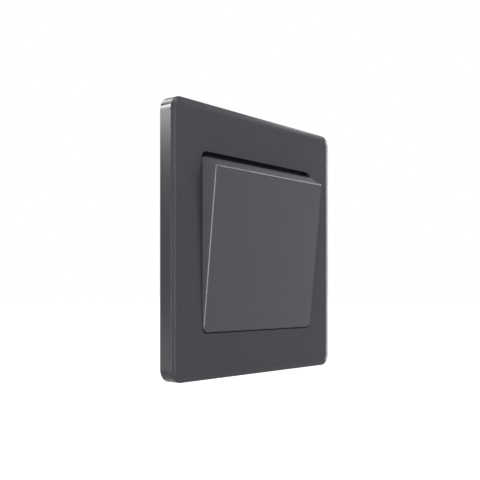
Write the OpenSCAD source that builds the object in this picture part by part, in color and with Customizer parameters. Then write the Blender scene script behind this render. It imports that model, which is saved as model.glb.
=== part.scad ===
// Wall-mounted key card switch: a square clip-on plate, a sloping card hood with a slot at its top,
// a card chassis on a steel frame, and a rear housing with the switch, the board and the terminals.
// The origin is the centre of the wall face: +Y goes into the wall, +Z is up, the front faces -Y.

/* [Front plate] */
// Width and height of the square plate
plate_size = 86; // [82:0.5:96]
// Distance from the wall to the plate's front face
plate_thick = 5; // [4.8:0.1:7]
// Radius of the plate's corners, seen from the front
plate_corner_r = 4.2; // [3.2:0.1:6]
// Wall behind the plate's front face
plate_face_wall = 1.8; // [1.4:0.1:2]
// Wall of the plate's rim
plate_rim_wall = 1.6; // [1.2:0.1:2]
// Width of the bevel round the front face
edge_width = 2.2; // [1:0.1:2.8]
// How far the bevel falls back at the rim
edge_depth = 0.5; // [0.2:0.05:0.8]
// Radius of the push-in pegs behind the plate
peg_r = 1.5; // [1.2:0.1:1.8]
// Distance of each peg from the middle, sideways
peg_x = 21; // [18:0.5:23]

/* [Card hood] */
// Height of the hood's back top edge above the middle
hood_top = 26.1; // [25.4:0.1:26.8]
// Depth of the hood's bottom below the middle
hood_bottom = 28.25; // [28:0.05:29]
// How far the hood's front top edge lies below its back top edge
brow_drop = 3.05; // [2:0.05:4]
// Tilt of the hood's front face and of the card
hood_tilt = 5.76; // [4.8:0.02:6.6]
// How far the hood's bottom edge stands out of the plate
hood_proud = 0.36; // [0.1:0.02:0.8]
// Wall of the hood
hood_wall = 2; // [1.6:0.1:2.2]
// Radius of the hood's bottom corners
hood_corner_r = 2; // [1:0.1:3]
// Gap between the hood and the edge of the plate's opening
hood_gap = 0.38; // [0.3:0.02:0.8]

/* [Card pocket] */
// Width of the key card
card_w = 54; // [53:0.1:54.4]
// Room at each long edge of the card
card_side_gap = 0.4; // [0.2:0.05:0.5]
// Room for the thickness of the card in its channel
card_channel = 1.52; // [1.2:0.02:1.8]
// Height of the mouth above the hood, up to the edge of the plate's opening
mouth_h = 1.9; // [1.6:0.1:2.6]
// How far the pocket's back wall lies behind the opening's top edge
mouth_setback = 0.3; // [0.2:0.05:0.5]
// How far the wall falls back at the mouth, to lead the card in
lead_depth = 0.7; // [0.3:0.05:0.75]
// Height of the stop under the card, above the hood's floor
stop_rise = 2.25; // [1.9:0.05:2.8]

/* [Chassis and frame] */
// Wall of the card chassis
chassis_wall = 1.5; // [1.3:0.1:1.7]
// Distance from the edge of the plate to the edge of the steel frame
frame_margin = 3; // [2.2:0.1:5.5]
// Thickness of the steel frame
frame_thick = 1.2; // [1:0.1:1.3]
// Distance between the two fixing slots
fixing_pitch = 60.3; // [60:0.1:60.6]
// Width of each fixing slot
fixing_slot_w = 4; // [3.8:0.1:4.4]
// Length of each fixing slot
fixing_slot_l = 5.4; // [5:0.1:5.8]
// Thickness of the chassis tabs that lie on the frame
tab_thick = 1.2; // [1:0.1:1.3]
// Radius of the small machine screws that hold the chassis
chassis_screw_r = 1.25; // [1:0.05:1.4]

/* [Rear housing] */
// Width of the rear housing
housing_w = 43; // [42.6:0.1:45]
// Distance from each end of the rear housing to the middle of its fixing slot
fixing_clear = 4.15; // [4.05:0.05:4.4]
// Depth of the rear housing behind the wall face
housing_back = 19.5; // [19.2:0.1:22]
// Wall of the rear housing
housing_wall = 1.5; // [1.2:0.1:1.6]
// Depth behind the wall face where the chassis and the housing meet
parting_y = 5; // [4.6:0.1:5.6]
// Radius of the screw columns in the housing's corners
column_r = 2.75; // [2.5:0.05:2.9]
// Radius of the long housing screws
housing_screw_r = 1.25; // [1:0.05:1.4]

/* [Terminals] */
// Number of wire terminals
terminal_count = 4; // [3:1:4]
// Thickness of the ribs between the brass clamps
terminal_rib = 1.2; // [1:0.1:1.6]
// Depth of each brass clamp
clamp_d = 8; // [7.6:0.1:8.4]
// Height of each brass clamp
clamp_h = 8; // [7:0.1:8.4]
// Radius of the hole for the wire
wire_r = 1.6; // [1.2:0.05:1.8]
// Radius of the terminal screws
terminal_screw_r = 1.5; // [1.2:0.05:1.6]

/* [Circuit board] */
// Room between the board's edges and the housing
board_side_gap = 0.5; // [0.3:0.05:0.7]
// Thickness of the board
board_thick = 1.6; // [1.2:0.1:1.8]
// Space behind the board
board_gap = 2.2; // [2:0.1:2.4]

/* [Switch] */
// Width of the switch case
switch_w = 5.8; // [5.6:0.1:6]
// Length of the switch case
switch_l = 13.8; // [13.6:0.1:14.2]
// Depth of the switch case
switch_d = 6.5; // [6.4:0.1:6.8]
// Radius of the plunger
plunger_r = 1.1; // [0.9:0.05:1.2]
// How far the plunger stands out of its case at rest
plunger_proud = 1.9; // [1.7:0.05:2.2]

/* [Card lever] */
// Height of the lever's pivot above the lower end of the housing
pivot_rise = 17.5; // [17:0.1:17.8]
// Distance from the pivot down to the plunger
plunger_drop = 4; // [3.8:0.1:4.4]
// Distance from the pivot down to the tip of the nose
nose_drop = 10.3; // [9.8:0.1:10.8]
// How far the nose stands into the pocket at rest
nose_proud = 2.4; // [2:0.1:2.7]
// Width of the nose
nose_w = 6; // [5:0.1:7]
// Radius of the pivot pin
pin_r = 1; // [0.8:0.05:1.1]
// Wire radius of the return spring
spring_wire_r = 0.25; // [0.15:0.01:0.3]

/* [Hidden] */
$fn = 48;

// Clearances
seat_gap = 0.05;
run_gap = 0.05;
body_gap = 0.3;

// Depths along Y
plate_front = -plate_thick;
plate_inner = plate_front + plate_face_wall;
frame_front = -frame_thick;
tab_front = frame_front - tab_thick;
housing_inner = housing_back - housing_wall;
board_back = housing_inner - board_gap;
board_front = board_back - board_thick;
switch_front = board_front - switch_d;

// Heights along Z
hood_brow = hood_top - brow_drop;
mouth_top = hood_top + mouth_h;
seat_bottom = -hood_bottom + hood_wall;
card_stop = -seat_bottom - stop_rise;
housing_h = fixing_pitch - 2 * fixing_clear;

// The sloping planes: the hood's face, the pocket's back wall and the front of the card channel
slope = tan(hood_tilt);
slant = 1 / cos(hood_tilt);
function face_y(z) = plate_front - hood_proud - (z + hood_bottom) * slope;
function back_y(z) = plate_front + mouth_setback - (z - mouth_top) * slope;
function lip_y(z) = back_y(z) - card_channel * slant;
function inner_face_y(z) = face_y(z) + hood_wall * slant;
function wall_rear_y(z) = back_y(z) + chassis_wall * slant;

// Outlines seen from the front
pocket_w = card_w + 2 * card_side_gap;
hood_w = pocket_w + 2 * hood_wall;
opening_w = hood_w + 2 * hood_gap;
opening_bottom = -hood_bottom - hood_gap;
chassis_w = hood_w - 0.4;
chassis_top = mouth_top - run_gap;
chassis_bottom = -card_stop - 3.2;
frame_size = plate_size - 2 * frame_margin;
frame_open_w = chassis_w + 1;
frame_open_h = 2 * max(-chassis_bottom, housing_h / 2) + 0.8;
ear_half_w = 6;
ear_z = housing_h / 2 + body_gap;
tab_inner_x = 5;
tab_outer_x = peg_x + 5;
tab_end = frame_open_h / 2 + 8.8;
peg_z = frame_open_h / 2 + 4.4;
socket_r = peg_r + run_gap + 1.25;
socket_end = 3.4;
chassis_screw_x = 10;
screw_head_h = 1.05;

// Rear housing layout
column_x = housing_w / 2 - 3.5;
column_z = housing_h / 2 - 3.5;
terminal_pitch = 2 * (column_x - column_r - 0.45) / terminal_count;
clamp_w = terminal_pitch - terminal_rib - 4 * run_gap;
clamp_top = housing_h / 2 - housing_wall - 1;
clamp_bottom = clamp_top - clamp_h;
clamp_mid = clamp_top - clamp_h / 2;
clamp_front = housing_inner - clamp_d;
wire_y = clamp_front + wire_r + 1;
board_w = housing_w - 2 * (housing_wall + board_side_gap);
board_bottom = housing_h / 2 - housing_wall - board_side_gap;
board_top = clamp_bottom - 1.5;
board_mid = (board_top - board_bottom) / 2;
board_screw_x = board_w / 2 - 3;
board_screw_z = board_top - 3.5;
terminal_head_r = terminal_screw_r + 0.6;

// Switch and lever layout
switch_wall = 0.8;
pivot_z = pivot_rise - housing_h / 2;
switch_top = pivot_z + 0.1;
switch_bottom = switch_top - switch_l;
pad_reach = 1.5;
pivot_y = switch_front - plunger_proud - 2 * run_gap - pad_reach;
plunger_z = pivot_z - plunger_drop;
blade_y = switch_front + 2.3;
blade_thick = 0.3;
blade_pivot_z = switch_bottom + 1.4;
contact_z = switch_top - 1.5;
contact_throw = 1.95;
rivet_proud = 0.3;
tip_z = pivot_z - nose_drop;
tip_y = back_y(tip_z) - nose_proud;
hub_r = pin_r + 1.2;
hub_left = -4.2;
hub_right = 4;
cheek_thick = 1.6;
cheek_left = hub_left - body_gap;
cheek_right = hub_right + 3.4;
pin_start = cheek_left - cheek_thick;
pin_end = cheek_right + cheek_thick;
spring_r = hub_r - 0.45;

plastic_dark = "#4c4c51";
plastic_black = "#2b2b2e";
plastic_grey = "#8b8d90";
steel = "#b9bcc0";
brass = "#c9a25a";

function terminal_x(i) = (i - (terminal_count - 1) / 2) * terminal_pitch;

// Box between two corners
module slab(x0, x1, y0, y1, z0, z1) {
    translate([x0, y0, z0])
        cube([x1 - x0, y1 - y0, z1 - z0]);
}

// Outline given as [y, z] points, pulled along X
module side_profile(points, x0, x1) {
    translate([x0, 0, 0])
        rotate([90, 0, 90])
            linear_extrude(x1 - x0)
                polygon(points);
}

// Flat outline in X and Z, pulled along Y
module front_profile(y0, y1) {
    translate([0, y1, 0])
        rotate([90, 0, 0])
            linear_extrude(y1 - y0)
                children();
}

module rod_x(r, y, z, x0, x1) {
    translate([x0, y, z])
        rotate([0, 90, 0])
            cylinder(r = r, h = x1 - x0);
}

module rod_y(r, x, z, y0, y1) {
    translate([x, y1, z])
        rotate([90, 0, 0])
            cylinder(r = r, h = y1 - y0);
}

module rod_z(r, x, y, z0, z1) {
    translate([x, y, z0])
        cylinder(r = r, h = z1 - z0);
}

// Rectangle with round corners, from its lower left to its upper right corner
module round_rect(x0, x1, z0, z1, r) {
    translate([x0 + r, z0])
        square([x1 - x0 - 2 * r, z1 - z0]);
    translate([x0, z0 + r])
        square([x1 - x0, z1 - z0 - 2 * r]);
    for (x = [x0 + r, x1 - r], z = [z0 + r, z1 - r])
        translate([x, z])
            circle(r = r);
}

// Screw along Y: a straight or countersunk head with a driver slot, and a plain shank
module screw_y(shank_r, head_r, head_h, length, sunk) {
    slot_w = head_r / 4;
    slot_d = head_h / 2;
    difference() {
        union() {
            rotate([-90, 0, 0])
                cylinder(r1 = head_r, r2 = sunk ? shank_r : head_r, h = head_h);
            rotate([-90, 0, 0])
                cylinder(r = shank_r, h = length);
        }
        slab(-head_r - 1, head_r + 1, -1, slot_d, -slot_w, slot_w);
    }
}

// Front plate
// Cross-section of the plate from its corner centre outwards, with the bevel round its face
module plate_section() {
    polygon([
        [0, 0],
        [plate_corner_r, 0],
        [plate_corner_r, plate_thick - edge_depth],
        [plate_corner_r - edge_width, plate_thick],
        [0, plate_thick]
    ]);
}

module plate_blank() {
    straight = plate_size - 2 * plate_corner_r;
    translate([-straight / 2, -straight / 2, 0])
        cube([straight, straight, plate_thick]);
    for (turn = [0:90:270])
        rotate(turn)
            translate([straight / 2, 0, 0])
                rotate([90, 0, 0])
                    linear_extrude(straight, center = true)
                        plate_section();
    for (turn = [0:90:270])
        rotate(turn)
            translate([straight / 2, straight / 2, 0])
                rotate_extrude(angle = 90)
                    plate_section();
}

module front_plate() {
    inner = plate_size / 2 - plate_rim_wall;
    step_y = plate_front + plate_face_wall / 2;
    step_z = -hood_bottom - 2 * run_gap;
    color(plastic_dark) {
        difference() {
            rotate([90, 0, 0])
                plate_blank();
            front_profile(plate_inner, 1)
                round_rect(-inner, inner, -inner, inner, plate_corner_r - plate_rim_wall);
            front_profile(plate_front - 1, step_y)
                round_rect(-opening_w / 2, opening_w / 2, opening_bottom, mouth_top, hood_corner_r);
            // A step under the hood closes the gap towards the back
            front_profile(step_y - 0.1, plate_inner + 1)
                round_rect(-opening_w / 2, opening_w / 2, step_z, mouth_top, hood_corner_r);
        }
        for (x = [-peg_x, peg_x], z = [-peg_z, peg_z])
            rod_y(peg_r, x, z, plate_inner - plate_face_wall / 2, socket_end - body_gap);
    }
}

// Card hood
module hood_outline() {
    r = hood_corner_r;
    half = hood_w / 2;
    translate([-half, -hood_bottom + r])
        square([hood_w, hood_bottom + hood_top + 1]);
    translate([-half + r, -hood_bottom])
        square([hood_w - 2 * r, 2 * r]);
    for (x = [-half + r, half - r])
        translate([x, -hood_bottom + r])
            circle(r = r);
}

// The roof's inner line runs parallel to its outer one, one wall below it
roof_run = lip_y(hood_top) - face_y(hood_brow);
roof_rise = hood_top - hood_brow;
roof_len = norm([roof_run, roof_rise]);
roof_y = face_y(hood_brow) + hood_wall * roof_rise / roof_len;
roof_z = hood_brow - hood_wall * roof_run / roof_len;
roof_pitch = roof_rise / roof_run;
// Heights where the roof's inner line meets the inner face and the card channel
function roof_meets(y_at_zero) = (roof_z + (y_at_zero - roof_y) * roof_pitch) / (1 + slope * roof_pitch);
corner_z = roof_meets(inner_face_y(0));
lip_z = roof_meets(lip_y(0));
far_y = 20;

module hood_shell() {
    bottom_rear = tab_front - body_gap;
    difference() {
        intersection() {
            side_profile([
                [face_y(-hood_bottom), -hood_bottom],
                [face_y(hood_brow), hood_brow],
                [lip_y(hood_top), hood_top],
                [back_y(hood_top) - seat_gap, hood_top],
                [back_y(seat_bottom) - seat_gap, seat_bottom],
                [bottom_rear, seat_bottom],
                [bottom_rear, -hood_bottom]
            ], -hood_w / 2, hood_w / 2);
            front_profile(-far_y, far_y)
                hood_outline();
        }
        side_profile([
            [inner_face_y(seat_bottom), seat_bottom],
            [inner_face_y(corner_z), corner_z],
            [lip_y(lip_z), lip_z],
            [lip_y(hood_top + 1), hood_top + 1],
            [far_y, hood_top + 1],
            [far_y, seat_bottom]
        ], -pocket_w / 2, pocket_w / 2);
        // Room for the head of the lower wall screw
        slab(-tab_inner_x, tab_inner_x, plate_inner - body_gap, far_y, -hood_bottom - 1, seat_bottom + 1);
    }
}

guide_x = 16;
guide_w = 1.2;
leg_w = 4;
leg_inner_x = chassis_w / 2 - 1.25;
leg_z = [14, -16];

module card_hood() {
    color(plastic_dark) {
        hood_shell();
        // Guide ribs that keep the card against the back wall
        for (x = [-guide_x, guide_x])
            side_profile([
                [inner_face_y(-card_stop + 1) - 0.2, -card_stop + 1],
                [inner_face_y(hood_brow - 4) - 0.2, hood_brow - 4],
                [lip_y(hood_brow - 6), hood_brow - 6],
                [lip_y(-card_stop + 1), -card_stop + 1]
            ], x - guide_w / 2, x + guide_w / 2);
        // Clip legs that hook behind the chassis
        for (side = [0, 1], z = leg_z)
            mirror([side, 0, 0]) {
                leg_end = wall_rear_y(z) + 1.8;
                slab(leg_inner_x, chassis_w / 2, back_y(z) - 1, leg_end, z - leg_w / 2, z + leg_w / 2);
                slab(leg_inner_x - 0.6, leg_inner_x + 0.1, leg_end - 1.2, leg_end,
                    z - leg_w / 2, z + leg_w / 2);
            }
    }
}

// Card chassis
window_half_w = nose_w / 2 + 0.6;
window_top = pivot_z - 3.7;
window_bottom = tip_z - 3.8;
stop_thick = 1.7;
lead_z = chassis_top - 3.4;
function lead_y(z) = back_y(z) + lead_depth * (z - lead_z) / (chassis_top - lead_z);

module chassis_wall_plate() {
    difference() {
        intersection() {
            side_profile([
                [back_y(chassis_bottom), chassis_bottom],
                [back_y(lead_z), lead_z],
                [lead_y(chassis_top), chassis_top],
                [wall_rear_y(chassis_top), chassis_top],
                [wall_rear_y(chassis_bottom), chassis_bottom]
            ], -chassis_w / 2, chassis_w / 2);
            front_profile(-far_y, far_y)
                round_rect(-chassis_w / 2, chassis_w / 2, chassis_bottom, chassis_top, hood_corner_r);
        }
        // Window for the lever's nose
        slab(-window_half_w, window_half_w, -far_y, far_y, window_bottom, window_top);
        // Notches for the hood's legs
        for (side = [0, 1], z = leg_z)
            mirror([side, 0, 0])
                slab(leg_inner_x - 0.1, chassis_w, -far_y, far_y, z - leg_w / 2 - 0.1, z + leg_w / 2 + 0.1);
    }
}

// Walls round the mechanism, from the sloping wall back to the housing
module chassis_skirt() {
    half_w = housing_w / 2;
    half_h = housing_h / 2;
    inner_w = half_w - housing_wall;
    inner_h = half_h - housing_wall;
    difference() {
        side_profile([
            [wall_rear_y(-half_h) - 0.5, -half_h],
            [max(wall_rear_y(half_h) - 0.5, plate_inner + 2 * run_gap), half_h],
            [parting_y, half_h],
            [parting_y, -half_h]
        ], -half_w, half_w);
        side_profile([
            [back_y(-inner_h), -inner_h],
            [back_y(inner_h), inner_h],
            [parting_y + 1, inner_h],
            [parting_y + 1, -inner_h]
        ], -inner_w, inner_w);
    }
    for (x = [-column_x, column_x], z = [-column_z, column_z])
        rod_y(column_r, x, z, wall_rear_y(z) - 0.6, parting_y);
}

// Tabs that lie on the frame, with the sockets for the plate's pegs
module chassis_tabs() {
    for (side = [0, 1])
        mirror([side, 0, 0]) {
            slab(tab_inner_x, tab_outer_x, tab_front, frame_front, chassis_top - 0.1, tab_end);
            slab(tab_inner_x, tab_outer_x, wall_rear_y(chassis_top) - 0.2, frame_front,
                chassis_top - 2, chassis_top);
            slab(tab_inner_x, tab_outer_x, tab_front, frame_front, -tab_end, chassis_bottom + 0.1);
            slab(tab_inner_x + 1.4, tab_outer_x, tab_front, wall_rear_y(chassis_bottom),
                chassis_bottom, chassis_bottom + chassis_wall);
        }
    for (x = [-peg_x, peg_x], z = [-peg_z, peg_z])
        rod_y(socket_r, x, z, tab_front, socket_end);
}

module card_chassis() {
    stop_front = inner_face_y(-card_stop) + body_gap;
    cheek_front = wall_rear_y(pivot_z) - 1;
    cheek_rear = pivot_y + hub_r + 0.4;
    cheek_top = pivot_z + 6.5;
    ledge_rear = pivot_y + spring_r - spring_wire_r - run_gap;
    hole_r = chassis_screw_r + run_gap;
    color(plastic_black)
        difference() {
            union() {
                chassis_wall_plate();
                chassis_skirt();
                chassis_tabs();
                // Stop under the card
                slab(-pocket_w / 2 + 0.3, pocket_w / 2 - 0.3, stop_front, wall_rear_y(-card_stop) - 0.3,
                    -card_stop - stop_thick, -card_stop);
                // Cheeks that carry the lever's pin, one with a ledge for the spring
                for (x = [pin_start, cheek_right])
                    slab(x, x + cheek_thick, cheek_front, cheek_rear, pivot_z - 2.5, cheek_top);
                slab(cheek_right - 1.3, cheek_right + 0.2, pivot_y, ledge_rear, pivot_z + 4, pivot_z + 6);
            }
            // Room for the heads of the wall screws
            slab(-tab_inner_x, tab_inner_x, tab_front - 1.1, frame_front + 1, ear_z - body_gap, tab_end);
            slab(-tab_inner_x - 1.4, tab_inner_x + 1.4, -far_y, far_y, -tab_end, -ear_z + body_gap);
            for (x = [-peg_x, peg_x], z = [-peg_z, peg_z])
                rod_y(peg_r + run_gap, x, z, tab_front - 1, socket_end + 1);
            for (x = [-chassis_screw_x, chassis_screw_x], z = [-peg_z, peg_z])
                translate([x, tab_front, z])
                    rotate([-90, 0, 0]) {
                        cylinder(r = hole_r, h = 4);
                        cylinder(r1 = hole_r + chassis_screw_r, r2 = hole_r, h = screw_head_h);
                    }
            for (x = [-column_x, column_x], z = [-column_z, column_z])
                rod_y(housing_screw_r + seat_gap, x, z, wall_rear_y(z) - 0.7, parting_y + 1);
            rod_x(pin_r + seat_gap / 2, pivot_y, pivot_z, pin_start - 1, pin_end + 1);
            // Room for the lever's hub
            rod_x(hub_r + body_gap, pivot_y, pivot_z, cheek_left, cheek_right);
        }
}

// Steel mounting frame
earth_y = 5;
earth_r = 1.5;
earth_half = 4.5;

module frame_sheet() {
    half = frame_size / 2;
    fixing_z = fixing_pitch / 2;
    slot_run = (fixing_slot_l - fixing_slot_w) / 2;
    difference() {
        round_rect(-half, half, -half, half, 3);
        difference() {
            square([frame_open_w, frame_open_h], center = true);
            for (z = [-1, 1])
                translate([-ear_half_w, z > 0 ? ear_z : -frame_open_h])
                    square([2 * ear_half_w, frame_open_h - ear_z]);
        }
        for (z = [-fixing_z, fixing_z])
            translate([0, z]) {
                square([fixing_slot_w, 2 * slot_run], center = true);
                for (dz = [-slot_run, slot_run])
                    translate([0, dz])
                        circle(r = fixing_slot_w / 2);
            }
        for (x = [-peg_x, peg_x], z = [-peg_z, peg_z])
            translate([x, z])
                circle(r = socket_r + body_gap);
        for (x = [-chassis_screw_x, chassis_screw_x], z = [-peg_z, peg_z])
            translate([x, z])
                circle(r = chassis_screw_r + seat_gap);
    }
}

module mounting_frame() {
    tab_x = frame_open_w / 2;
    tab_rear = earth_y + earth_half - 0.5;
    color(steel)
        difference() {
            union() {
                front_profile(frame_front, 0)
                    frame_sheet();
                slab(tab_x, tab_x + frame_thick, frame_front / 2, tab_rear, -earth_half, earth_half);
            }
            rod_x(earth_r + seat_gap, earth_y, 0, tab_x - 1, tab_x + frame_thick + 1);
        }
}

module chassis_screws() {
    length = tab_thick + frame_thick + 1;
    color(steel)
        for (x = [-chassis_screw_x, chassis_screw_x], z = [-peg_z, peg_z])
            translate([x, tab_front, z])
                screw_y(chassis_screw_r, 2 * chassis_screw_r, screw_head_h, length, true);
}

module earth_screw() {
    color(brass)
        translate([frame_open_w / 2 + frame_thick + 2, earth_y, 0])
            rotate([0, 0, 90])
                screw_y(earth_r, 2.8, 2 - seat_gap, frame_thick + 6, false);
}

// Rear housing
module rear_housing() {
    half_w = housing_w / 2;
    half_h = housing_h / 2;
    head_depth = 2.2;
    color(plastic_grey)
        difference() {
            union() {
                difference() {
                    slab(-half_w, half_w, parting_y, housing_back, -half_h, half_h);
                    slab(-half_w + housing_wall, half_w - housing_wall, parting_y - 1, housing_inner,
                        -half_h + housing_wall, half_h - housing_wall);
                }
                for (x = [-column_x, column_x], z = [-column_z, column_z])
                    rod_y(column_r, x, z, parting_y, housing_back - 0.1);
                // Ribs on both sides of each terminal clamp
                for (i = [0:terminal_count])
                    slab(terminal_x(i - 0.5) - terminal_rib / 2, terminal_x(i - 0.5) + terminal_rib / 2,
                        clamp_front - 0.5, housing_inner + 0.1, clamp_bottom - 0.4, half_h - 0.1);
                // Posts under the board
                for (x = [-board_screw_x, board_screw_x], z = [board_screw_z, -board_bottom + 8])
                    rod_y(2.2, x, z, board_back, housing_inner + 0.1);
            }
            for (x = [-column_x, column_x], z = [-column_z, column_z]) {
                rod_y(housing_screw_r + 0.15, x, z, parting_y - 1, housing_back + 1);
                rod_y(2 * housing_screw_r + 0.15, x, z, housing_back - head_depth, housing_back + 1);
            }
            for (i = [0:terminal_count - 1]) {
                rod_y(terminal_head_r + 0.3, terminal_x(i), clamp_mid, housing_inner - 1, housing_back + 1);
                rod_z(wire_r + 0.3, terminal_x(i), wire_y, clamp_top - 1, half_h + 1);
            }
            for (x = [-board_screw_x, board_screw_x])
                rod_y(1 + seat_gap, x, board_screw_z, board_back - 1, housing_inner + 0.5);
        }
}

module housing_screws() {
    color(steel)
        for (x = [-column_x, column_x], z = [-column_z, column_z])
            translate([x, housing_back - 0.2, z])
                rotate([180, 0, 0])
                    screw_y(housing_screw_r, 2 * housing_screw_r, 2 - 2 * seat_gap,
                        housing_back - 0.2 - wall_rear_y(z) - 0.2, false);
}

// Circuit board and what is soldered to it
pin_radius = 0.45;
switch_pins = [
    [0, blade_pivot_z - 0.4],
    [0, contact_z],
    [switch_w / 2 - switch_wall - 0.5, contact_z]
];

module circuit_board() {
    color("#2e6b3f")
        difference() {
            slab(-board_w / 2, board_w / 2, board_front, board_back, -board_bottom, board_top);
            for (x = [-column_x, column_x])
                rod_y(column_r + body_gap, x, -column_z, board_front - 1, board_back + 1);
            for (x = [-board_screw_x, board_screw_x])
                rod_y(1 + seat_gap, x, board_screw_z, board_front - 1, board_back + 1);
            for (p = switch_pins)
                rod_y(pin_radius + 0.1, p[0], p[1], board_front - 1, board_back + 1);
        }
}

module board_screws() {
    head_h = 1.4;
    color(steel)
        for (x = [-board_screw_x, board_screw_x])
            translate([x, board_front - head_h, board_screw_z])
                screw_y(1, 1.9, head_h - seat_gap, head_h + board_thick + board_gap, false);
}

// The parts keep their share of the board's width and height, and of the room in front of it
unit_x = board_w / 39;
unit_z = (board_top + board_bottom) / 38;
unit_y = (board_front - parting_y) / 9.2;

// Space laid out from the middle of the board's front face: X across, Y towards the card, Z up
module on_board() {
    translate([0, board_front, board_mid])
        scale([unit_x, unit_y, unit_z])
            children();
}

// Box on the board, from its centre on the board and its size
module board_box(x, z, w, h, d) {
    slab(x - w / 2, x + w / 2, -d, 0, z - h / 2, z + h / 2);
}

module relay() {
    height = 10.6;
    color("#2a4f8f")
        on_board()
            difference() {
                board_box(-14.1, -3.7, 10.2, 20.2, height);
                // Vent nib recess on top of the case
                rod_y(1, -17, -11.5, -height - 1, -height + 0.4);
            }
}

module dropper_capacitor() {
    x = 15.8;
    z = -6.5;
    color("#d9c04a")
        on_board() {
            board_box(x, z, 6, 13, 10.4);
            // Raised panel on top of the case
            board_box(x, z, 4.6, 11.6, 10.6);
        }
}

module smoothing_capacitor() {
    x = 14.5;
    z = 5.2;
    r = 3.15;
    color("#333a55")
        on_board()
            difference() {
                rod_y(r, x, z, -10.5, 0);
                // Rolled groove near the foot
                difference() {
                    rod_y(r + 1, x, z, -2.2, -1.4);
                    rod_y(r - 0.3, x, z, -3, 0);
                }
            }
}

module varistor() {
    x = 8.5;
    z = 12.5;
    r = 3.5;
    disc_y = -r - 0.5;
    color("#2f62a8")
        on_board() {
            rod_x(r, disc_y, z, x - 1.7, x + 1.7);
            for (dz = [-1.8, 1.8])
                rod_y(0.3, x, z + dz, disc_y, 0);
        }
}

module bridge_rectifier() {
    z = 12;
    color("#242424")
        on_board() {
            board_box(0, z, 8.4, 6, 2.8);
            for (x = [-2.6, 2.6], side = [-1, 1])
                board_box(x, z + side * 3.4, 0.8, 1.2, 0.5);
        }
}

module timer_chip() {
    z = 3.2;
    leg_pitch = 2.54;
    color("#1f1f22")
        on_board() {
            board_box(0, z, 9.2, 5, 3.2);
            for (i = [-1.5:1:1.5], side = [-1, 1])
                board_box(leg_pitch * i, z + side * 2.8, 0.6, 1, 0.5);
        }
}

module board_fuse() {
    z = 10.2;
    r = 1.8;
    color("#d8d8d0")
        on_board() {
            rod_x(r - 0.2, -r, z, -16.5, -7.5);
            rod_x(r, -r, z, -17, -14.6);
            rod_x(r, -r, z, -9.4, -7);
        }
}

module resistors() {
    r = 1.2;
    wire = 0.3;
    z = 3.2;
    reach = 4.4;
    color("#c8a878")
        on_board()
            for (x = [-6.6, 6.2]) {
                rod_z(r, x, -r, z - 3.1, z + 3.1);
                for (dz = [-reach, reach])
                    rod_y(wire, x, z + dz, -r - wire, 0);
                rod_z(wire, x, -r, z - reach, z + reach);
            }
}

// Terminals
module terminal_clamps() {
    color(brass)
        for (i = [0:terminal_count - 1])
            translate([terminal_x(i), 0, 0]) {
                difference() {
                    slab(-clamp_w / 2, clamp_w / 2, clamp_front, housing_inner, clamp_bottom, clamp_top);
                    rod_z(wire_r, 0, wire_y, clamp_bottom + 1, clamp_top + 1);
                    rod_y(terminal_screw_r + seat_gap, 0, clamp_mid, wire_y, housing_inner + 1);
                }
                slab(-1, 1, board_front - 0.8, board_front, board_top - 2.5, clamp_bottom + 0.1);
            }
}

module terminal_screws() {
    head_h = 1.3;
    head_y = housing_inner + head_h + seat_gap;
    shank_end = wire_y + wire_r + 0.3;
    color(steel)
        for (i = [0:terminal_count - 1])
            translate([terminal_x(i), head_y, clamp_mid])
                rotate([180, 0, 0])
                    screw_y(terminal_screw_r, terminal_head_r, head_h, head_y - shank_end, false);
}

// Switch
lid_thick = 0.75;

module switch_case() {
    color("#1b1b1d")
        difference() {
            slab(-switch_w / 2, switch_w / 2 - lid_thick - seat_gap, switch_front, board_front,
                switch_bottom, switch_top);
            slab(-switch_w / 2 + switch_wall, switch_w, switch_front + 1, board_front - switch_wall,
                switch_bottom + switch_wall, switch_top - switch_wall);
            rod_y(plunger_r + 2 * run_gap, 0, plunger_z, switch_front - 1, switch_front + 2);
            for (p = switch_pins)
                rod_y(pin_radius + 0.1, p[0], p[1], board_front - 2, board_front + 1);
        }
}

module switch_lid() {
    color("#8a1f1f")
        slab(switch_w / 2 - lid_thick, switch_w / 2, switch_front, board_front, switch_bottom, switch_top);
}

// Common, normally open and normally closed contacts, each with its board pin
module switch_terminals() {
    solder_y = board_back + 1;
    closed_y = blade_y - rivet_proud - 2 * run_gap;
    open_y = blade_y + blade_thick + rivet_proud + contact_throw;
    strip = 0.35;
    side_x = switch_pins[2][0];
    strip_front = closed_y - 0.4 - strip;
    color(brass) {
        // Common post behind the blade's foot
        slab(-1, 1, blade_y + blade_thick + 2 * run_gap, board_front - switch_wall - 0.1,
            switch_bottom + switch_wall + 0.1, blade_pivot_z + 0.2);
        rod_y(pin_radius, switch_pins[0][0], switch_pins[0][1], board_front - switch_wall - 0.3, solder_y);
        // Contact behind the blade's tip
        rod_y(0.6, 0, contact_z, open_y, open_y + 0.5);
        slab(-0.8, 0.8, open_y + 0.4, open_y + 0.4 + strip, contact_z - 0.7, contact_z + 0.6);
        rod_y(pin_radius, 0, contact_z, open_y + 0.5, solder_y);
        // Contact in front of the blade's tip, whose leg runs beside the blade
        rod_y(0.6, 0, contact_z, closed_y - 0.4, closed_y);
        slab(-0.8, side_x + pin_radius, strip_front, closed_y - 0.3, contact_z - 0.6, contact_z + 0.6);
        rod_y(pin_radius, side_x, contact_z, closed_y - 0.4, solder_y);
    }
}

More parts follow.
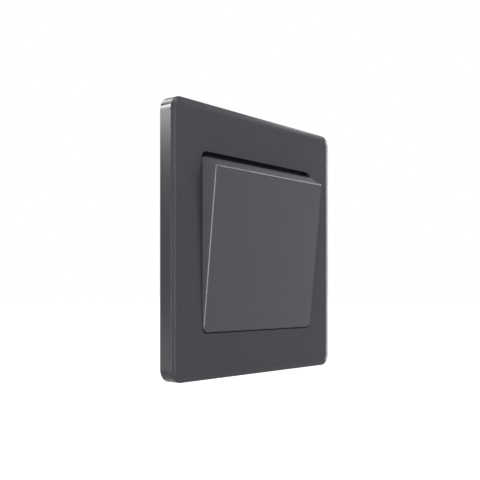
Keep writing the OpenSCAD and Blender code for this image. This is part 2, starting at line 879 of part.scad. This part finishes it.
module switch_plunger() {
    front = switch_front - plunger_proud;
    bevel = 0.4;
    inner_y = blade_y - 2 * run_gap;
    color("#e3e1d8")
        difference() {
            union() {
                rod_y(plunger_r, 0, plunger_z, front, switch_front + 1.3);
                rod_y(plunger_r + 0.25, 0, plunger_z, switch_front + 1.15, switch_front + 1.5);
                rod_y(plunger_r / 2, 0, plunger_z, switch_front + 1.4, inner_y);
            }
            // Bevelled tip
            difference() {
                rod_y(plunger_r + 1, 0, plunger_z, front - 1, front + bevel);
                translate([0, front, plunger_z])
                    rotate([-90, 0, 0])
                        cylinder(r1 = plunger_r - bevel, r2 = plunger_r, h = bevel);
            }
        }
}

module contact_blade() {
    color("#c98f52") {
        slab(-0.9, 0.9, blade_y, blade_y + blade_thick, blade_pivot_z - 0.4, contact_z + 0.6);
        // Rolled foot that rocks on the common post
        rod_x(blade_thick / 2 + run_gap, blade_y + blade_thick / 2, blade_pivot_z, -0.9, 0.9);
        rod_y(0.55, 0, contact_z, blade_y - rivet_proud, blade_y + blade_thick + rivet_proud);
    }
}

// Card lever with its pin and return spring
module card_lever() {
    peg_rear = pivot_y + spring_r - spring_wire_r - 2 * run_gap;
    color("#d8d8d4")
        difference() {
            union() {
                side_profile([
                    [pivot_y - pad_reach, pivot_z],
                    [pivot_y - 0.5, plunger_z - 1],
                    [tip_y, tip_z + 0.6],
                    [tip_y, tip_z - 0.6],
                    [pivot_y - 0.2, tip_z - 2.4],
                    [pivot_y + pad_reach, plunger_z - 1.2],
                    [pivot_y + pad_reach, pivot_z]
                ], -nose_w / 2, nose_w / 2);
                rod_x(hub_r, pivot_y, pivot_z, hub_left, hub_right);
                // Side peg that the spring pushes on
                slab(nose_w / 2 - 0.1, hub_right + 1, pivot_y + 0.2, peg_rear, plunger_z - 2, plunger_z);
            }
            rod_x(pin_r + run_gap, pivot_y, pivot_z, hub_left - 1, hub_right + 1);
        }
}

module lever_pin() {
    color(steel)
        rod_x(pin_r, pivot_y, pivot_z, pin_start, pin_end);
}

// Torsion spring: a straight leg down, whole turns round the pin, a straight leg up
spring_turns = 3;
turn_steps = 12;
spring_start_x = hub_right + 2 * spring_wire_r;
spring_end_x = cheek_right - 2 * spring_wire_r;
spring_sides = 8;
spring_path = concat(
    [[spring_start_x, pivot_y + spring_r, plunger_z - 2]],
    [
        for (i = [0:spring_turns * turn_steps])
            let (a = 360 * i / turn_steps, t = i / (spring_turns * turn_steps))
                [
                    spring_start_x + t * (spring_end_x - spring_start_x),
                    pivot_y + spring_r * cos(a),
                    pivot_z + spring_r * sin(a)
                ]
    ],
    [[spring_end_x, pivot_y + spring_r, pivot_z + 6]]
);

function unit(v) = v / norm(v);
function heading(path, i) = unit(path[min(i + 1, len(path) - 1)] - path[max(i - 1, 0)]);
function ring(path, i, r, sides) =
    let (t = heading(path, i), u = unit(cross(t, [1, 0, 0])), v = cross(t, u))
        [for (k = [0:sides - 1]) path[i] + r * (cos(360 * k / sides) * u + sin(360 * k / sides) * v)];

module tube(path, r, sides) {
    count = len(path);
    points = [for (i = [0:count - 1]) each ring(path, i, r, sides)];
    walls = [
        for (i = [0:count - 2], k = [0:sides - 1])
            let (a = i * sides + k, b = i * sides + (k + 1) % sides)
                each [[a, b, b + sides], [a, b + sides, a + sides]]
    ];
    start_cap = [for (k = [1:sides - 2]) [0, k + 1, k]];
    last = (count - 1) * sides;
    end_cap = [for (k = [1:sides - 2]) [last, last + k, last + k + 1]];
    polyhedron(points = points, faces = concat(walls, start_cap, end_cap));
}

module lever_spring() {
    color(steel)
        tube(spring_path, spring_wire_r, spring_sides);
}

front_plate();
card_hood();
card_chassis();
mounting_frame();
chassis_screws();
earth_screw();
rear_housing();
housing_screws();
circuit_board();
board_screws();
relay();
dropper_capacitor();
smoothing_capacitor();
varistor();
bridge_rectifier();
timer_chip();
board_fuse();
resistors();
terminal_clamps();
terminal_screws();
switch_case();
switch_lid();
switch_terminals();
switch_plunger();
contact_blade();
card_lever();
lever_pin();
lever_spring();
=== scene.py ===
"""Looks for the key card switch: fine plate and hood, procedural materials, studio light and camera."""
import math

import bmesh
import bpy
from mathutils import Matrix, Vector


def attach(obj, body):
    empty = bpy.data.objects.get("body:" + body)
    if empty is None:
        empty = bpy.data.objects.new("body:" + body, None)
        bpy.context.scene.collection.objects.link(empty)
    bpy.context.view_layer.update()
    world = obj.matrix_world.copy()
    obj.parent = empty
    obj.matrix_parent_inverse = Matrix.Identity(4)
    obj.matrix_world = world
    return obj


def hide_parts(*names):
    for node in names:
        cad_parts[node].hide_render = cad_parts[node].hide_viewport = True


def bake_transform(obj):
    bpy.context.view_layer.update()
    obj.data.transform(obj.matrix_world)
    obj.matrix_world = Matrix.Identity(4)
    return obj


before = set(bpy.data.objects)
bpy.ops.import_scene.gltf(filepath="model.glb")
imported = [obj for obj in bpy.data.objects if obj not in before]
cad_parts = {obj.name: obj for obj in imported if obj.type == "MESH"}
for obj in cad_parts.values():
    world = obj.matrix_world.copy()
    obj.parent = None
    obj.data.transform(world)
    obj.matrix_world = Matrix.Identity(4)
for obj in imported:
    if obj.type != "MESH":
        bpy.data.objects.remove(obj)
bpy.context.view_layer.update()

scene = bpy.context.scene
MM = 0.001


# Materials
# Noise mostly lies between these values
NOISE_LOW = 0.3
NOISE_HIGH = 0.7

# Noise scales per metre, and depths of the relief in metres
PLASTIC_GRAIN = 2600
PLASTIC_MOTTLE = 160
METAL_MARKS = 900
METAL_CLOUDS = 120
MASK_MARKS = 900
TRACK_CELLS = 260
GRAIN_DEPTH = 0.00002
TRACK_DEPTH = 0.00003

PLATE_COLOUR = (0.056, 0.0575, 0.064)
HOOD_COLOUR = (0.071, 0.0689, 0.0785)
MASK_DARK = (0.02, 0.11, 0.045)
MASK_LIGHT = (0.035, 0.17, 0.07)


def new_material(name):
    """Empty material with a Principled shader; returns the material, its tree and the shader."""
    material = bpy.data.materials.new(name)
    material.use_nodes = True
    tree = material.node_tree
    return material, tree, tree.nodes["Principled BSDF"]


def noise(tree, scale, detail=2.0, stretch=None):
    """Noise in the object's own coordinates; stretch scales the axes for a drawn or brushed grain."""
    coords = tree.nodes.new("ShaderNodeTexCoord")
    source = coords.outputs["Object"]
    if stretch:
        mapping = tree.nodes.new("ShaderNodeMapping")
        mapping.inputs["Scale"].default_value = stretch
        tree.links.new(source, mapping.inputs["Vector"])
        source = mapping.outputs["Vector"]
    texture = tree.nodes.new("ShaderNodeTexNoise")
    texture.inputs["Scale"].default_value = scale
    texture.inputs["Detail"].default_value = detail
    tree.links.new(source, texture.inputs["Vector"])
    return texture.outputs["Fac"]


def spread(tree, value, low, high, target):
    """Send noise to a socket as a number between low and high."""
    remap = tree.nodes.new("ShaderNodeMapRange")
    remap.inputs["From Min"].default_value = NOISE_LOW
    remap.inputs["From Max"].default_value = NOISE_HIGH
    remap.inputs["To Min"].default_value = low
    remap.inputs["To Max"].default_value = high
    tree.links.new(value, remap.inputs["Value"])
    tree.links.new(remap.outputs["Result"], target)


def tint(tree, value, dark, light, target):
    """Send noise to a colour socket as a ramp between two close colours."""
    ramp = tree.nodes.new("ShaderNodeValToRGB")
    ramp.color_ramp.elements[0].position = NOISE_LOW
    ramp.color_ramp.elements[0].color = (*dark, 1)
    ramp.color_ramp.elements[1].position = NOISE_HIGH
    ramp.color_ramp.elements[1].color = (*light, 1)
    tree.links.new(value, ramp.inputs["Fac"])
    tree.links.new(ramp.outputs["Color"], target)


def bump(tree, value, strength, distance, shader):
    """Relief from noise, as deep as distance in metres."""
    node = tree.nodes.new("ShaderNodeBump")
    node.inputs["Strength"].default_value = strength
    node.inputs["Distance"].default_value = distance
    tree.links.new(value, node.inputs["Height"])
    tree.links.new(node.outputs["Normal"], shader.inputs["Normal"])


def around(colour, amount):
    """Two colours a little below and above the given one."""
    return [c * (1 - amount) for c in colour], [c * (1 + amount) for c in colour]


def plastic(name, colour, rough, grain=0.25, vary=0.05, gloss=0.5):
    """Moulded plastic: faint mottling, a fine eroded grain and a roughness that follows it."""
    material, tree, shader = new_material(name)
    shader.inputs["Specular IOR Level"].default_value = gloss
    fine = noise(tree, PLASTIC_GRAIN, 3)
    tint(tree, noise(tree, PLASTIC_MOTTLE, 3), *around(colour, vary), shader.inputs["Base Color"])
    spread(tree, fine, rough - 0.05, rough + 0.05, shader.inputs["Roughness"])
    bump(tree, fine, grain, GRAIN_DEPTH, shader)
    return material


def facing(tree, axis, low, high, at_low, at_high):
    """Number that follows how squarely a face looks along an axis, either way."""
    coords = tree.nodes.new("ShaderNodeTexCoord")
    parts = tree.nodes.new("ShaderNodeSeparateXYZ")
    tree.links.new(coords.outputs["Normal"], parts.inputs["Vector"])
    along = tree.nodes.new("ShaderNodeMath")
    along.operation = "ABSOLUTE"
    tree.links.new(parts.outputs[axis], along.inputs[0])
    level = tree.nodes.new("ShaderNodeMapRange")
    level.inputs["From Min"].default_value = low
    level.inputs["From Max"].default_value = high
    level.inputs["To Min"].default_value = at_low
    level.inputs["To Max"].default_value = at_high
    tree.links.new(along.outputs[0], level.inputs["Value"])
    return level.outputs["Result"]


def shade(material, amount):
    """Multiply a material's colour by a number from its own tree."""
    tree = material.node_tree
    target = tree.nodes["Principled BSDF"].inputs["Base Color"]
    scale = tree.nodes.new("ShaderNodeVectorMath")
    scale.operation = "SCALE"
    tree.links.new(target.links[0].from_socket, scale.inputs["Vector"])
    tree.links.new(amount, scale.inputs["Scale"])
    tree.links.new(scale.outputs["Vector"], target)


def metal(name, colour, rough, stretch=(1, 1, 1)):
    """Plated or drawn metal: cloudy tint, uneven gloss and fine draw marks."""
    material, tree, shader = new_material(name)
    shader.inputs["Metallic"].default_value = 1
    marks = noise(tree, METAL_MARKS, 4, stretch)
    tint(tree, noise(tree, METAL_CLOUDS, 4), *around(colour, 0.1), shader.inputs["Base Color"])
    spread(tree, marks, rough - 0.08, rough + 0.1, shader.inputs["Roughness"])
    bump(tree, marks, 0.2, GRAIN_DEPTH, shader)
    return material


def laminate(name):
    """Green solder mask with the soft outline of copper tracks under it."""
    material, tree, shader = new_material(name)
    coords = tree.nodes.new("ShaderNodeTexCoord")
    cells = tree.nodes.new("ShaderNodeTexVoronoi")
    cells.distance = "CHEBYCHEV"
    cells.inputs["Scale"].default_value = TRACK_CELLS
    tree.links.new(coords.outputs["Object"], cells.inputs["Vector"])
    tint(tree, cells.outputs["Distance"], MASK_DARK, MASK_LIGHT, shader.inputs["Base Color"])
    spread(tree, noise(tree, MASK_MARKS), 0.25, 0.4, shader.inputs["Roughness"])
    bump(tree, cells.outputs["Distance"], 0.3, TRACK_DEPTH, shader)
    return material


def plate_plastic(name, gloss, rough=0.2):
    """The plate's plastic at one gloss, with painted shade: faces that look sideways get a darker colour."""
    material = plastic(name, PLATE_COLOUR, rough, grain=0.04, vary=0.02, gloss=gloss)
    shade(material, facing(material.node_tree, "Y", low=0.6, high=0.95, at_low=0.8, at_high=1))
    return material


# The plate's satin front, its sloping edge and its polished rim, each with the least Y in its faces' normals
PLATE_FINISHES = [
    (plate_plastic("plate_anthracite", 0.015), 0.985),
    (plate_plastic("plate_edge_anthracite", 0.0375, rough=0.14), 0.7),
    (plate_plastic("plate_rim_anthracite", 0.15), 0),
]

# Painted light: the hood's sides get a colour up to half again lighter than its front, to stand in for light on them
hood_plastic = plastic("hood_anthracite", HOOD_COLOUR, 0.22, grain=0.04, vary=0.02, gloss=0.05)
shade(hood_plastic, facing(hood_plastic.node_tree, "X", low=0.85, high=1, at_low=1, at_high=1.5))

black = plastic("black_plastic", (0.004, 0.004, 0.005), 0.7, gloss=0.02)
zinc = metal("zinc_steel", (0.46, 0.47, 0.49), 0.52, (1, 1, 8))
brass = metal("brass", (0.66, 0.45, 0.17), 0.45, (6, 1, 1))

NODE_MATERIALS = {
    "card_chassis": black,
    "mounting_frame": zinc,
    "chassis_screws": metal("screw_steel", (0.5, 0.51, 0.52), 0.28),
    "earth_screw": brass,
    "rear_housing": plastic("grey_plastic", (0.26, 0.27, 0.28), 0.48, grain=0.4),
    "housing_screws": metal("long_screw_steel", (0.46, 0.47, 0.48), 0.3),
    "circuit_board": laminate("board_laminate"),
    "board_screws": zinc,
    "relay": plastic("relay_plastic", (0.03, 0.09, 0.3), 0.3),
    "dropper_capacitor": plastic("yellow_plastic", (0.68, 0.52, 0.08), 0.35),
    "smoothing_capacitor": plastic("dark_sleeve", (0.03, 0.04, 0.09), 0.22, vary=0.15),
    "varistor": plastic("blue_coating", (0.04, 0.13, 0.4), 0.4, grain=0.6),
    "bridge_rectifier": black,
    "timer_chip": black,
    "board_fuse": plastic("fuse_ceramic", (0.7, 0.7, 0.66), 0.3),
    "resistors": plastic("tan_lacquer", (0.58, 0.4, 0.2), 0.35, vary=0.15),
    "terminal_clamps": brass,
    "terminal_screws": zinc,
    "switch_case": black,
    "switch_lid": plastic("red_thermoset", (0.3, 0.02, 0.02), 0.4),
    "switch_terminals": brass,
    "switch_plunger": plastic("white_acetal", (0.68, 0.67, 0.63), 0.35),
    "contact_blade": metal("copper_alloy", (0.75, 0.4, 0.22), 0.3, (1, 1, 6)),
    "card_lever": plastic("lever_acetal", (0.66, 0.65, 0.61), 0.38),
    "lever_pin": zinc,
}
spring_wire = metal("spring_wire", (0.5, 0.51, 0.53), 0.25)

# Width in millimetres of the small rounding on the edges of some nodes, and the least angle that is rounded
EDGE_ANGLE = 40
NODE_EDGES = {
    "rear_housing": 0.3,
    "card_chassis": 0.12,
    "mounting_frame": 0.12,
    "housing_screws": 0.12,
    "earth_screw": 0.15,
    "terminal_screws": 0.1,
    "card_lever": 0.15,
}


# Meshes

def show(name, bm, materials, body, node, crease):
    """Turn a bmesh into a piece that stands for a CAD node and rides on its body."""
    mesh = bpy.data.meshes.new(name)
    bmesh.ops.recalc_face_normals(bm, faces=bm.faces)
    bm.to_mesh(mesh)
    bm.free()
    mesh.shade_smooth()
    mesh.set_sharp_from_angle(angle=math.radians(crease))
    piece = bpy.data.objects.new(name, mesh)
    scene.collection.objects.link(piece)
    for material in materials:
        mesh.materials.append(material)
    weighted = piece.modifiers.new("flat faces", "WEIGHTED_NORMAL")
    weighted.keep_sharp = True
    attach(piece, body)
    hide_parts(node)
    return piece


def outline(x0, x1, z0, z1, r, y, steps=10):
    """Rectangle with round corners at depth y, in millimetres, as points in order."""
    points = []
    for cx, cz, start in (
        (x1 - r, z1 - r, 0), (x0 + r, z1 - r, 90), (x0 + r, z0 + r, 180), (x1 - r, z0 + r, 270),
    ):
        for i in range(steps + 1):
            a = math.radians(start + 90 * i / steps)
            points.append(Vector((cx + r * math.cos(a), y, cz + r * math.sin(a))) * MM)
    return points


def bridge(bm, loops, closed):
    """Quads between neighbouring outlines; closed joins the last outline to the first."""
    rows = [[bm.verts.new(p) for p in loop] for loop in loops]
    pairs = list(zip(rows, rows[1:] + rows[:1])) if closed else list(zip(rows, rows[1:]))
    for a, b in pairs:
        for i in range(len(a)):
            j = (i + 1) % len(a)
            bm.faces.new((a[i], a[j], b[j], b[i]))
    return rows


def lathe_y(bm, profile, x, z, sides=24):
    """Closed turned piece along Y from (radius, y) points, all in millimetres."""
    turns = [2 * math.pi * k / sides for k in range(sides)]
    loops = []
    for r, y in profile:
        loops.append([Vector((x + r * math.cos(a), y, z + r * math.sin(a))) * MM for a in turns])
    rows = bridge(bm, loops, False)
    bm.faces.new(rows[0])
    bm.faces.new(rows[-1])


# Plate, in millimetres: y is depth, with the front at PLATE_FRONT
PLATE_HALF = 43.0
PLATE_FRONT = -5.0
PLATE_INNER = -3.2
PLATE_CORNER = 4.2
RIM_WALL = 1.6
EDGE_WIDTH = 1.9
EDGE_DEPTH = 0.5
CREASE_RADIUS = 0.25
EDGE_RADIUS = 9
ARC_PARTS = 5
OPENING = (-29.78, 29.78, -28.63, 28.0)
OPENING_CORNER = 2.0
OPENING_SOFT = 0.08
SOFT_PARTS = 3
STEP_Y = -4.1
STEP_Z = -28.35
SIDE_LIP = 0.3
TOP_LIP = 0.03
PEGS = [(x, z) for x in (-21, 21) for z in (-32, 32)]
PEG_PROFILE = [(1.5, PLATE_INNER - 0.4), (1.5, 2.6), (1.1, 3.1)]
PLATE_SHARP = 38

# Hood, in millimetres: half its width, heights of its front and back top edges, and where its outer edges lie
HOOD_HALF = 29.4
HOOD_BROW = 23.05
HOOD_TOP = 26.1
HOOD_LOW = -26.3
HOOD_SIDE_FRONT = -4.6
HOOD_CHAMFER = 0.2
HOOD_SHARP = 15

# How near points count as one, or as lying on a plane, in metres
CAD_WELD = 1e-6
PLATE_WELD = 1e-7
SAME_PLACE = 1e-5

# Angles in degrees: faces this close are one flat face, and edges this sharp can be chamfered
FLAT_ANGLE = 0.5
CHAMFER_ANGLE = 25


def rounded(points, radius_at):
    """Open path with some corners rounded: radius_at maps a point's index to its radius."""
    path = []
    for i, point in enumerate(points):
        if i not in radius_at:
            path.append(point)
            continue
        here = Vector(point)
        back = (Vector(points[i - 1]) - here).normalized()
        ahead = (Vector(points[i + 1]) - here).normalized()
        turn = math.pi - back.angle(ahead)
        reach = radius_at[i] * math.tan(turn / 2)
        centre = here + (back + ahead).normalized() * (radius_at[i] / math.cos(turn / 2))
        start, end = here + back * reach - centre, here + ahead * reach - centre
        for k in range(ARC_PARTS + 1):
            path.append(centre + start.slerp(end, k / ARC_PARTS) * radius_at[i])
    return path


def plate_profile():
    """Outside of the plate's rim as (inset, y): up the side, round the crease, over the sloping edge."""
    corner_y = PLATE_FRONT + EDGE_DEPTH
    points = [(0, 0), (0, corner_y), (EDGE_WIDTH, PLATE_FRONT), (EDGE_WIDTH + 1, PLATE_FRONT)]
    return rounded(points, {1: CREASE_RADIUS, 2: EDGE_RADIUS})[:-1]


def plate_outline(inset, y):
    """Outline of the plate at depth y, moved in from its side."""
    half = PLATE_HALF - inset
    return outline(-half, half, -half, half, PLATE_CORNER - inset, y)


def opening_outline(grow, y):
    """Outline of the opening at depth y, grown outwards."""
    x0, x1, z0, z1 = OPENING
    return outline(x0 - grow, x1 + grow, z0 - grow, z1 + grow, OPENING_CORNER + grow, y)


def lip_outline(y):
    """Opening behind the step, narrower, to keep light out of the gap round the hood."""
    x0, x1, _, z1 = OPENING
    return outline(x0 + SIDE_LIP, x1 - SIDE_LIP, STEP_Z, z1 - TOP_LIP, OPENING_CORNER, y)


def make_plate():
    """Plate as one closed skin: over the rim and the front, through the opening and along the back, with its pegs."""
    bm = bmesh.new()
    loops = [plate_outline(*point) for point in plate_profile()]
    for i in range(SOFT_PARTS + 1):
        a = math.radians(90 * i / SOFT_PARTS)
        grow = OPENING_SOFT * (1 - math.sin(a))
        loops.append(opening_outline(grow, PLATE_FRONT + OPENING_SOFT * (1 - math.cos(a))))
    loops.append(opening_outline(0, STEP_Y))
    loops.append(lip_outline(STEP_Y))
    loops.append(lip_outline(PLATE_INNER))
    loops.append(plate_outline(RIM_WALL, PLATE_INNER))
    loops.append(plate_outline(RIM_WALL, 0))
    bridge(bm, loops, True)
    bmesh.ops.remove_doubles(bm, verts=bm.verts, dist=PLATE_WELD)
    for x, z in PEGS:
        lathe_y(bm, PEG_PROFILE, x, z)
    materials = [material for material, _ in PLATE_FINISHES]
    piece = show("plate_shell", bm, materials, "front_plate", "front_plate", PLATE_SHARP)
    for face in piece.data.polygons:
        forwards = abs(face.normal.y)
        face.material_index = next(i for i, (_, least) in enumerate(PLATE_FINISHES) if forwards >= least)


def make_hood():
    """The hood's solid with its flat faces merged and its outer edges chamfered."""
    bm = bmesh.new()
    bm.from_mesh(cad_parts["card_hood"].data)
    bmesh.ops.remove_doubles(bm, verts=bm.verts, dist=CAD_WELD)
    bmesh.ops.dissolve_limit(
        bm, angle_limit=math.radians(FLAT_ANGLE), verts=bm.verts, edges=bm.edges, use_dissolve_boundaries=False,
    )

    def along(edge, z):
        return all(abs(vert.co.z - z * MM) < SAME_PLACE for vert in edge.verts)

    def outer(edge):
        if len(edge.link_faces) != 2 or edge.calc_face_angle() < math.radians(CHAMFER_ANGLE):
            return False
        middle = (edge.verts[0].co + edge.verts[1].co) / 2
        on_side = abs(abs(middle.x) - HOOD_HALF * MM) < SAME_PLACE and middle.y < HOOD_SIDE_FRONT * MM
        on_bottom = middle.z < HOOD_LOW * MM and middle.y < PLATE_FRONT * MM
        return on_side or on_bottom or along(edge, HOOD_BROW) or along(edge, HOOD_TOP)

    edges = [e for e in bm.edges if outer(e)]
    bmesh.ops.bevel(
        bm, geom=edges, offset=HOOD_CHAMFER * MM, offset_type="OFFSET", segments=1, profile=0.5, affect="EDGES",
        clamp_overlap=True,
    )
    show("hood_shell", bm, [hood_plastic], "base", "card_hood", HOOD_SHARP)


def make_spring():
    """The return spring as its CAD mesh, welded, smooth and in spring wire, fixed in place."""
    bm = bmesh.new()
    bm.from_mesh(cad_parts["lever_spring"].data)
    bmesh.ops.remove_doubles(bm, verts=bm.verts, dist=CAD_WELD)
    mesh = bpy.data.meshes.new("return_spring")
    bm.to_mesh(mesh)
    bm.free()
    mesh.shade_smooth()
    mesh.materials.append(spring_wire)
    piece = bpy.data.objects.new("return_spring", mesh)
    scene.collection.objects.link(piece)
    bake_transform(piece)
    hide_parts("lever_spring")


make_plate()
make_hood()
make_spring()

for node, material in NODE_MATERIALS.items():
    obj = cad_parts[node]
    obj.data.materials.clear()
    obj.data.materials.append(material)
    if node in NODE_EDGES:
        soft = obj.modifiers.new("soft edges", "BEVEL")
        soft.width = NODE_EDGES[node] * MM
        soft.segments = 2
        soft.limit_method = "ANGLE"
        soft.angle_limit = math.radians(EDGE_ANGLE)
        soft.harden_normals = True


# Floor, world and light, in metres
FLOOR_Z = -0.35
FLOOR_HALF = 40.0
FLOOR_GLOW = 0.7
WORLD_LIGHT = 0.5


def make_floor():
    """Pale floor that takes the object's shadow, and is white to the camera and in reflections."""
    material, tree, shader = new_material("studio_floor")
    tint(tree, noise(tree, 3, 2), (0.86, 0.86, 0.86), (0.9, 0.9, 0.9), shader.inputs["Base Color"])
    shader.inputs["Roughness"].default_value = 0.9
    rays = tree.nodes.new("ShaderNodeLightPath")
    glow = tree.nodes.new("ShaderNodeEmission")
    add = tree.nodes.new("ShaderNodeAddShader")
    output = tree.nodes["Material Output"]
    seen = tree.nodes.new("ShaderNodeMath")
    seen.operation = "MAXIMUM"
    tree.links.new(rays.outputs["Is Camera Ray"], seen.inputs[0])
    tree.links.new(rays.outputs["Is Glossy Ray"], seen.inputs[1])
    level = tree.nodes.new("ShaderNodeMath")
    level.operation = "MULTIPLY"
    level.inputs[1].default_value = FLOOR_GLOW
    tree.links.new(seen.outputs[0], level.inputs[0])
    tree.links.new(level.outputs[0], glow.inputs["Strength"])
    tree.links.new(shader.outputs["BSDF"], add.inputs[0])
    tree.links.new(glow.outputs["Emission"], add.inputs[1])
    tree.links.new(add.outputs["Shader"], output.inputs["Surface"])
    bm = bmesh.new()
    bmesh.ops.create_grid(bm, x_segments=4, y_segments=4, size=FLOOR_HALF)
    mesh = bpy.data.meshes.new("floor")
    bm.to_mesh(mesh)
    bm.free()
    floor = bpy.data.objects.new("floor", mesh)
    scene.collection.objects.link(floor)
    floor.location.z = FLOOR_Z
    mesh.materials.append(material)


def make_world():
    """Even light from all round, and plain white to the camera and in reflections."""
    world = bpy.data.worlds.new("studio")
    scene.world = world
    world.use_nodes = True
    tree = world.node_tree
    light = tree.nodes["Background"]
    light.inputs["Color"].default_value = (1, 1, 1, 1)
    light.inputs["Strength"].default_value = WORLD_LIGHT
    white = tree.nodes.new("ShaderNodeBackground")
    white.inputs["Color"].default_value = (1, 1, 1, 1)
    white.inputs["Strength"].default_value = 1
    rays = tree.nodes.new("ShaderNodeLightPath")
    first = tree.nodes.new("ShaderNodeMath")
    second = tree.nodes.new("ShaderNodeMath")
    first.operation = second.operation = "MAXIMUM"
    tree.links.new(rays.outputs["Is Camera Ray"], first.inputs[0])
    tree.links.new(rays.outputs["Is Glossy Ray"], first.inputs[1])
    tree.links.new(first.outputs[0], second.inputs[0])
    tree.links.new(rays.outputs["Is Transmission Ray"], second.inputs[1])
    mix = tree.nodes.new("ShaderNodeMixShader")
    tree.links.new(second.outputs[0], mix.inputs["Fac"])
    tree.links.new(light.outputs["Background"], mix.inputs[1])
    tree.links.new(white.outputs["Background"], mix.inputs[2])
    tree.links.new(mix.outputs["Shader"], tree.nodes["World Output"].inputs["Surface"])


def softbox(name, place, width, height, level, edges_only=True):
    """Rectangular lamp that looks at the object; edges_only keeps it to highlights, off the diffuse light."""
    lamp = bpy.data.lights.new(name, "AREA")
    lamp.shape = "RECTANGLE"
    lamp.size = width
    lamp.size_y = height
    lamp.energy = level * math.pi * width * height
    obj = bpy.data.objects.new(name, lamp)
    scene.collection.objects.link(obj)
    obj.location = place
    obj.rotation_euler = (-Vector(place)).to_track_quat("-Z", "Y").to_euler()
    obj.visible_diffuse = not edges_only
    obj.visible_camera = False


make_floor()
make_world()
softbox("key", (0.18, -0.44, 0.42), 0.2, 0.2, 20.5, edges_only=False)
softbox("fill", (-1.2, -0.45, 0.3), 1.0, 1.0, 2.5, edges_only=False)
softbox("right", (0.975, -0.2, 0.05), 0.32, 0.6, 8)
softbox("upper_right", (0.79, -0.215, 0.57), 0.35, 0.25, 12)
softbox("upper_band", (0.777, -0.44, 0.45), 0.35, 0.1, 2)
softbox("rear_left", (-0.69, 0.64, 0.4), 0.3, 0.34, 24)
softbox("rear_mid", (-0.58, 0.617, 0.53), 0.22, 0.2, 32)
softbox("rear_top", (-0.2, 0.62, 0.755), 0.8, 0.16, 9)
softbox("rear_low", (-0.72, 0.69, -0.17), 0.3, 0.2, 2.5)
softbox("front_left", (-0.65, -0.75, -0.08), 0.25, 0.36, 90)
softbox("edge_line", (0.375, -0.927, 0.05), 0.03, 0.5, 32)

# Camera at the photo's angle; the picture's edges run upright, so the lens is shifted and not tilted
camera = bpy.data.objects.new("camera", bpy.data.cameras.new("camera"))
scene.collection.objects.link(camera)
camera.location = (-0.2132, -0.1672, -0.01609)
camera.rotation_euler = (math.radians(90), 0, math.radians(-51.26))
camera.data.sensor_width = 36
camera.data.lens = 59.535
camera.data.shift_y = 0.1112
camera.data.clip_start = 0.01
scene.camera = camera
scene.view_settings.view_transform = "Standard"
